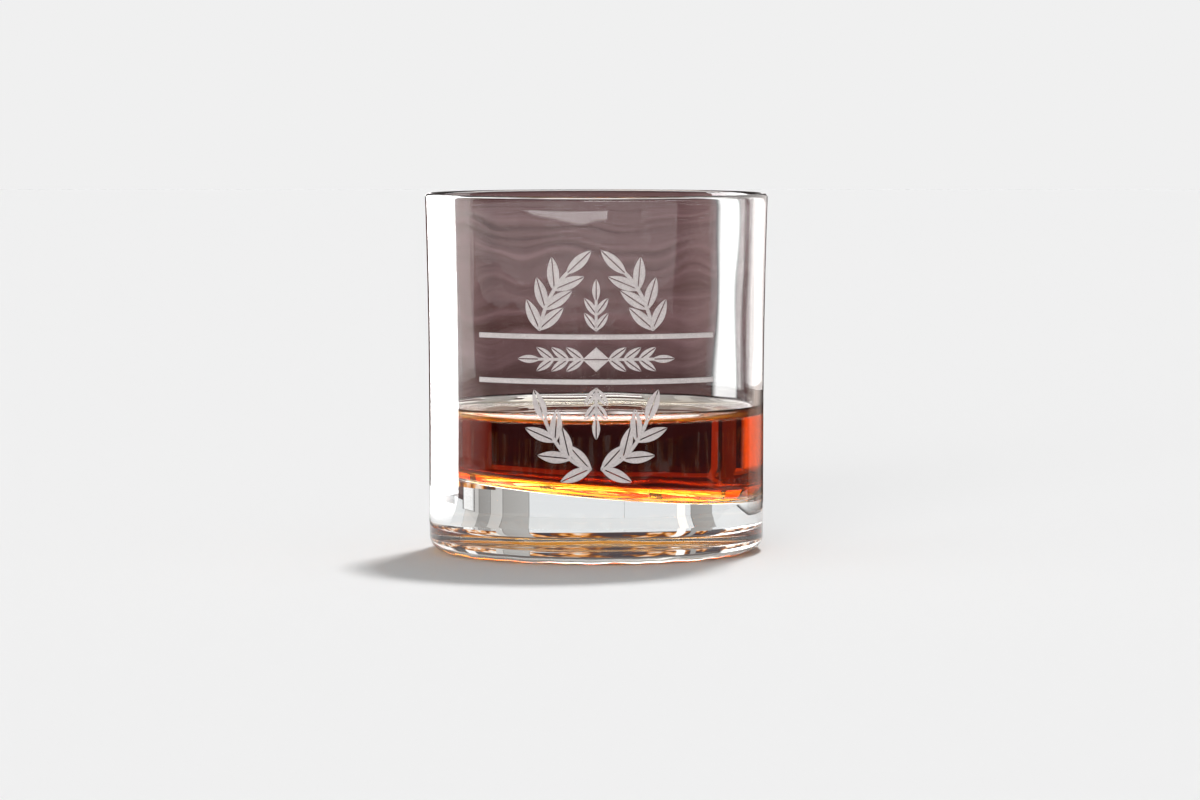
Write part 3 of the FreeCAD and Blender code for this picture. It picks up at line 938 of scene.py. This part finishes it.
# %% Node tree that grows a sprig along each stem
def sprig_tree():
    tree = bpy.data.node_groups.new("sprig_along_stem", "GeometryNodeTree")
    face = tree.interface
    face.new_socket("Stem", in_out="INPUT", socket_type="NodeSocketGeometry")
    face.new_socket("Leaf", in_out="INPUT", socket_type="NodeSocketObject")
    face.new_socket("Pairs", in_out="INPUT", socket_type="NodeSocketInt")
    face.new_socket("Spread", in_out="INPUT", socket_type="NodeSocketFloat")
    face.new_socket("Stem Width", in_out="INPUT", socket_type="NodeSocketFloat")
    face.new_socket("Finish", in_out="INPUT", socket_type="NodeSocketMaterial")
    face.new_socket("Sprig", in_out="OUTPUT", socket_type="NodeSocketGeometry")
    given = add(tree, "NodeGroupInput").outputs

    stem = add(tree, "GeometryNodeMeshToCurve", links={"Mesh": given["Stem"]}).outputs["Curve"]
    count = add(tree, "ShaderNodeMath", {1: 1.0}, {0: given["Pairs"]}, operation="ADD").outputs[0]
    spots = add(tree, "GeometryNodeCurveToPoints", links={"Curve": stem, "Count": count}, mode="COUNT")
    way = add(tree, "ShaderNodeSeparateXYZ", links={0: spots.outputs["Tangent"]})
    heading = add(tree, "ShaderNodeMath", links={0: way.outputs["Z"], 1: way.outputs["X"]},
                  operation="ARCTAN2").outputs[0]
    index = add(tree, "GeometryNodeInputIndex").outputs[0]
    order = add(tree, "ShaderNodeMath", links={0: index, 1: count}, operation="MODULO").outputs[0]
    at_end = add(tree, "ShaderNodeMath", {2: 0.5}, {0: order, 1: given["Pairs"]},
                 operation="COMPARE").outputs[0]
    along = add(tree, "ShaderNodeMath", {0: 1.0}, {1: at_end}, operation="SUBTRACT").outputs[0]
    leaf = add(tree, "GeometryNodeObjectInfo", links={"Object": given["Leaf"]}).outputs["Geometry"]

    grown = add(tree, "GeometryNodeJoinGeometry")
    for side, chosen in ((1.0, along), (-1.0, along), (0.0, at_end)):
        lean = add(tree, "ShaderNodeMath", {1: side}, {0: given["Spread"], 2: heading},
                   operation="MULTIPLY_ADD").outputs[0]
        turn = add(tree, "ShaderNodeMath", {1: -1.0}, {0: lean}, operation="MULTIPLY").outputs[0]
        euler = add(tree, "ShaderNodeCombineXYZ", links={"Y": turn}).outputs[0]
        rotation = add(tree, "FunctionNodeEulerToRotation", links={"Euler": euler}).outputs[0]
        leaves = add(tree, "GeometryNodeInstanceOnPoints", links={
            "Points": spots.outputs["Points"], "Selection": chosen, "Instance": leaf,
            "Rotation": rotation}).outputs[0]
        tree.links.new(leaves, grown.inputs[0])

    half_width = add(tree, "ShaderNodeMath", {1: 0.5}, {0: given["Stem Width"]},
                     operation="MULTIPLY").outputs[0]
    round_bar = add(tree, "GeometryNodeCurvePrimitiveCircle", {"Resolution": 8},
                    {"Radius": half_width}).outputs["Curve"]
    fine = add(tree, "GeometryNodeResampleCurve", {"Length": 0.6 * MM}, {"Curve": stem},
               mode="LENGTH").outputs[0]
    stalk = add(tree, "GeometryNodeCurveToMesh", {"Fill Caps": True},
                {"Curve": fine, "Profile Curve": round_bar}).outputs[0]
    tree.links.new(stalk, grown.inputs[0])
    real = add(tree, "GeometryNodeRealizeInstances", links={"Geometry": grown.outputs[0]}).outputs[0]
    finished = add(tree, "GeometryNodeSetMaterial", links={"Geometry": real, "Material": given["Finish"]})
    add(tree, "NodeGroupOutput", links={"Sprig": finished.outputs[0]})
    return tree


# %% Frosted glass
def frosted_glass():
    """Sandblasted soda-lime glass: a dull white grain that still lets a little of the drink through."""
    material, tree, output = new_material("sandblasted_soda_lime_glass")
    place = add(tree, "ShaderNodeTexCoord").outputs["Object"]
    grit = add(tree, "ShaderNodeTexNoise", {"Scale": 2600.0, "Detail": 3.0, "Roughness": 0.7},
               {"Vector": place})
    cloud = add(tree, "ShaderNodeTexNoise", {"Scale": 160.0, "Detail": 3.0}, {"Vector": place})
    shade = add(tree, "ShaderNodeMath", {1: 0.35}, {0: cloud.outputs["Fac"], 2: grit.outputs["Fac"]},
                operation="MULTIPLY_ADD")
    tone = add(tree, "ShaderNodeValToRGB", links={"Fac": shade.outputs[0]})
    tone.color_ramp.elements[0].position = 0.42
    tone.color_ramp.elements[0].color = linear("#C6BBBA")
    tone.color_ramp.elements[1].position = 0.92
    tone.color_ramp.elements[1].color = linear("#EFE7E5")
    bump = add(tree, "ShaderNodeBump", {"Strength": 0.6, "Distance": 0.03 * MM},
               {"Height": grit.outputs["Fac"]})
    shader = add(tree, "ShaderNodeBsdfPrincipled",
                 {"IOR": 1.52, "Roughness": 0.65, "Transmission Weight": 0.12,
                  "Subsurface Weight": 0.0},
                 {"Base Color": tone.outputs[0], "Normal": bump.outputs[0]})
    tree.links.new(shader.outputs[0], output.inputs["Surface"])
    return material


FROSTED = frosted_glass()
SPRIG = sprig_tree()


# %% Press flat patches on to the wall
def press_on_wall(mesh):
    """Slides every point straight back on to the outside of the glass and thins the patch to a skin."""
    flat = np.empty(len(mesh.vertices) * 3)
    mesh.vertices.foreach_get("co", flat)
    flat = flat.reshape(-1, 3)
    proud = -flat[:, 1] * (FROST_IN * 2)
    radius = np.array([outer_radius(z) for z in flat[:, 2]]) + proud
    flat[:, 1] = -np.sqrt(radius ** 2 - flat[:, 0] ** 2)
    mesh.vertices.foreach_set("co", flat.ravel())
    mesh.update()
    mesh.shade_smooth()


def merge(name, meshes):
    """One mesh from several."""
    work = bmesh.new()
    for mesh in meshes:
        work.from_mesh(mesh)
    whole = bpy.data.meshes.new(name)
    work.to_mesh(whole)
    work.free()
    return whole


def decoration(name, node, meshes):
    whole = merge(name, meshes)
    press_on_wall(whole)
    whole.materials.clear()
    piece = link_object(name, whole, [FROSTED])
    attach(piece, "root")
    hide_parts(node)
    print(f"{name}: {len(whole.polygons)} faces")
    return piece


# %% Stems of the wreath and of the barley ears
def wreath_point(turn):
    return (WREATH_WIDE * math.cos(turn), 0.0, WREATH_Z + WREATH_TALL * math.sin(turn))


def turn_at(z):
    return math.asin((z - WREATH_Z) / WREATH_TALL)


def branches(turn_from, turn_to):
    """Matching stems on the right and on the left, from low to high angle."""
    right = [wreath_point(t) for t in np.linspace(turn_from, turn_to, 40)]
    return [right, [(-x, y, z) for x, y, z in right]]


def ear_stem(x, z, heading, pairs):
    reach = pairs * GRAIN_STEP
    way = (math.cos(heading), 0.0, math.sin(heading))
    return [(x + way[0] * reach * t, 0.0, z + way[2] * reach * t) for t in np.linspace(0, 1, 12)]


def laurel(name, stems):
    return run_tree(name, SPRIG, stems, {
        "Leaf": leaf_object, "Pairs": LEAF_PAIRS, "Spread": LEAF_SPREAD, "Stem Width": STEM_WIDTH,
        "Finish": FROSTED})


def barley(name, stems, pairs):
    return run_tree(name, SPRIG, stems, {
        "Leaf": grain_object, "Pairs": pairs, "Spread": GRAIN_SPREAD, "Stem Width": STEM_WIDTH * 0.8,
        "Finish": FROSTED})


# %% The five frosted patches
LOZENGE = (3.2 * MM, 2.9 * MM)
above = RULE_UPPER_Z + RULE_WIDTH / 2 + WREATH_GAP
below = RULE_LOWER_Z - RULE_WIDTH / 2 - WREATH_GAP


RULE_STATIONS = 90    # steps along a rule, enough for it to bend smoothly round the wall


def rule_mesh(name, z):
    low, high = z - RULE_WIDTH / 2, z + RULE_WIDTH / 2
    return skin(name, patch(-RULE_HALF, RULE_HALF, lambda s: low, lambda s: high, RULE_STATIONS))


def lozenge_mesh(name):
    wide, tall = LOZENGE

    def edge(s):
        return tall * (1 - abs(2 * s - 1))

    def vein(s):
        return min(VEIN, edge(s) * 0.5)

    upper = patch(-wide, wide, lambda s: BAND_Z + vein(s), lambda s: BAND_Z + edge(s), 13)
    lower = patch(-wide, wide, lambda s: BAND_Z - edge(s), lambda s: BAND_Z - vein(s), 13)
    return skin(name, upper, lower)


decoration("frosted_rule_upper", "etched_rule_upper", [rule_mesh("rule_a", RULE_UPPER_Z)])
decoration("frosted_rule_lower", "etched_rule_lower", [rule_mesh("rule_b", RULE_LOWER_Z)])
decoration("frosted_wreath_upper", "etched_wreath_upper", [
    laurel("laurel_a", branches(turn_at(above), math.radians(62))),
    barley("barley_a", [ear_stem(0, above, math.pi / 2, 2)], 2)])
decoration("frosted_wreath_lower", "etched_wreath_lower", [
    laurel("laurel_b", branches(math.radians(-84), math.radians(-32))),
    barley("barley_b", [ear_stem(0, below, -math.pi / 2, 2)], 2)])
BAND_PAIRS = 3        # pairs of grains in each ear beside the lozenge
decoration("frosted_band", "etched_band", [
    lozenge_mesh("lozenge"),
    barley("barley_c", [ear_stem(LOZENGE[0], BAND_Z, 0.0, BAND_PAIRS),
                        ear_stem(-LOZENGE[0], BAND_Z, math.pi, BAND_PAIRS)], BAND_PAIRS)])
for pattern in (leaf_object, grain_object):
    bpy.data.objects.remove(pattern)
